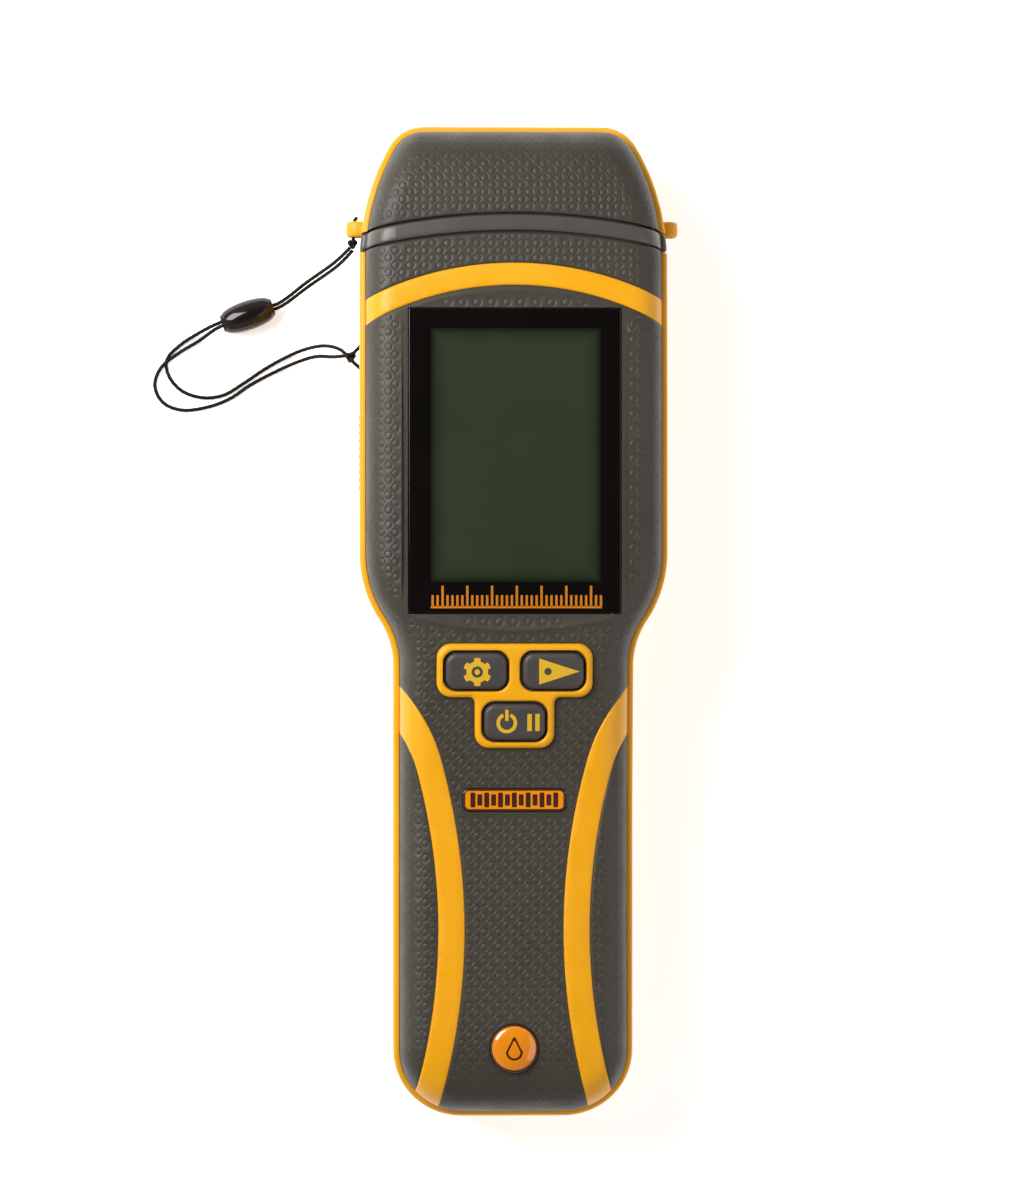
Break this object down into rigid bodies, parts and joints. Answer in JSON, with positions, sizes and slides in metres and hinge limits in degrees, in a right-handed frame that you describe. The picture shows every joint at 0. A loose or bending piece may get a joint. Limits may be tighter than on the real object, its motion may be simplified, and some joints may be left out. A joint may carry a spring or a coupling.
{
  "type": "moisture meter",
  "caption": "Hand-held pin moisture meter with display, keypad, pull-off pin cap and cord lanyard, lying on its back.",
  "frame": {"origin": "middle of the footprint on the flat rear face, without the lanyard", "axes": "+Z out of the display, +Y along the case towards the pin cap, +X to the right of a person reading the display"},
  "size_m": [0.1088, 0.203, 0.0411],
  "materials": {
    "yellow": "semi-gloss moulded plastic, warm yellow",
    "grip": "matt moulded rubber with small raised rings",
    "collar": "smooth satin dark grey plastic",
    "black_plastic": "matt black moulded plastic",
    "seal": "soft black rubber",
    "steel": "bright nickel-plated steel",
    "brass": "plain brass",
    "window": "polished black-bordered acrylic window",
    "lcd": "dark green-grey liquid crystal panel",
    "white_plastic": "matt white moulded plastic",
    "zebra": "grey layered contact rubber",
    "board": "green solder mask on glass laminate",
    "chip": "matt black component packages",
    "orange": "glossy orange enamel",
    "dark_rim": "dark brown gloss border",
    "cell": "plain printed cell jacket, no marks",
    "cord": "fine braided black cord",
    "bead": "polished very dark brown plastic"
  },
  "bodies": {
    "case": {"rear_shell": "yellow", "rear_grip": "grip", "front_shell": "yellow", "front_grip": "grip", "case_gasket": "seal", "neck_collar": "collar", "nose_block": "black_plastic", "nose_seal": "seal", "electrode_pin_left": "steel", "electrode_pin_right": "steel", "pin_nuts": "brass", "pin_contacts": "brass", "display_window": "window", "window_gasket": "seal", "lcd_frame": "white_plastic", "lcd_glass": "lcd", "backlight_panel": "white_plastic", "zebra_strips": "zebra", "main_board": "board", "board_chips": "chip", "board_screws": "steel", "buzzer": "black_plastic", "dome_switches": "steel", "keypad_surround": "yellow", "badge_plate": "orange", "roundel_bezel": "dark_rim", "roundel_dome": "orange", "battery_cell_left": "cell", "battery_cell_right": "cell", "battery_springs": "steel", "battery_plates": "steel", "probe_jacks": "black_plastic", "cover_pin": "steel", "lanyard_bar": "steel", "case_screws": "steel", "tether_cord": "cord", "anchor_knot": "cord"},
    "cap": {"cap_shell": "yellow", "cap_grip": "grip", "lug_knot": "cord"},
    "key_a": {"key_settings": "grip"},
    "key_b": {"key_reference": "grip"},
    "key_c": {"key_power": "grip"},
    "door": {"battery_door": "yellow"},
    "cover": {"socket_cover": "yellow"},
    "bead": {"tether_bead": "bead"}
  },
  "joints": [
    {"name": "cap_slide", "type": "slide", "parent": "case", "child": "cap", "axis": [0, 1, 0], "range_m": [0, 0.025]},
    {"name": "settings_press", "type": "slide", "parent": "case", "child": "key_a", "axis": [0, 0.1219, -0.9925], "range_m": [0, 0.0008], "stiffness_N_per_m": 2000},
    {"name": "reference_press", "type": "slide", "parent": "case", "child": "key_b", "axis": [0, 0.1219, -0.9925], "range_m": [0, 0.0008], "stiffness_N_per_m": 2000},
    {"name": "power_press", "type": "slide", "parent": "case", "child": "key_c", "axis": [0, 0.1219, -0.9925], "range_m": [0, 0.0008], "stiffness_N_per_m": 2000},
    {"name": "door_slide", "type": "slide", "parent": "case", "child": "door", "axis": [0, -1, 0], "range_m": [0, 0.066]},
    {"name": "cover_hinge", "type": "hinge", "parent": "case", "child": "cover", "pos_m": [-0.03045, 0.0258, 0.0236], "axis": [0, 0, 1], "range_deg": [0, 90]},
    {"name": "bead_slide", "type": "slide", "parent": "case", "child": "bead", "axis": [0.9455, 0.3256, 0], "range_m": [0, 0.0015]}
  ]
}
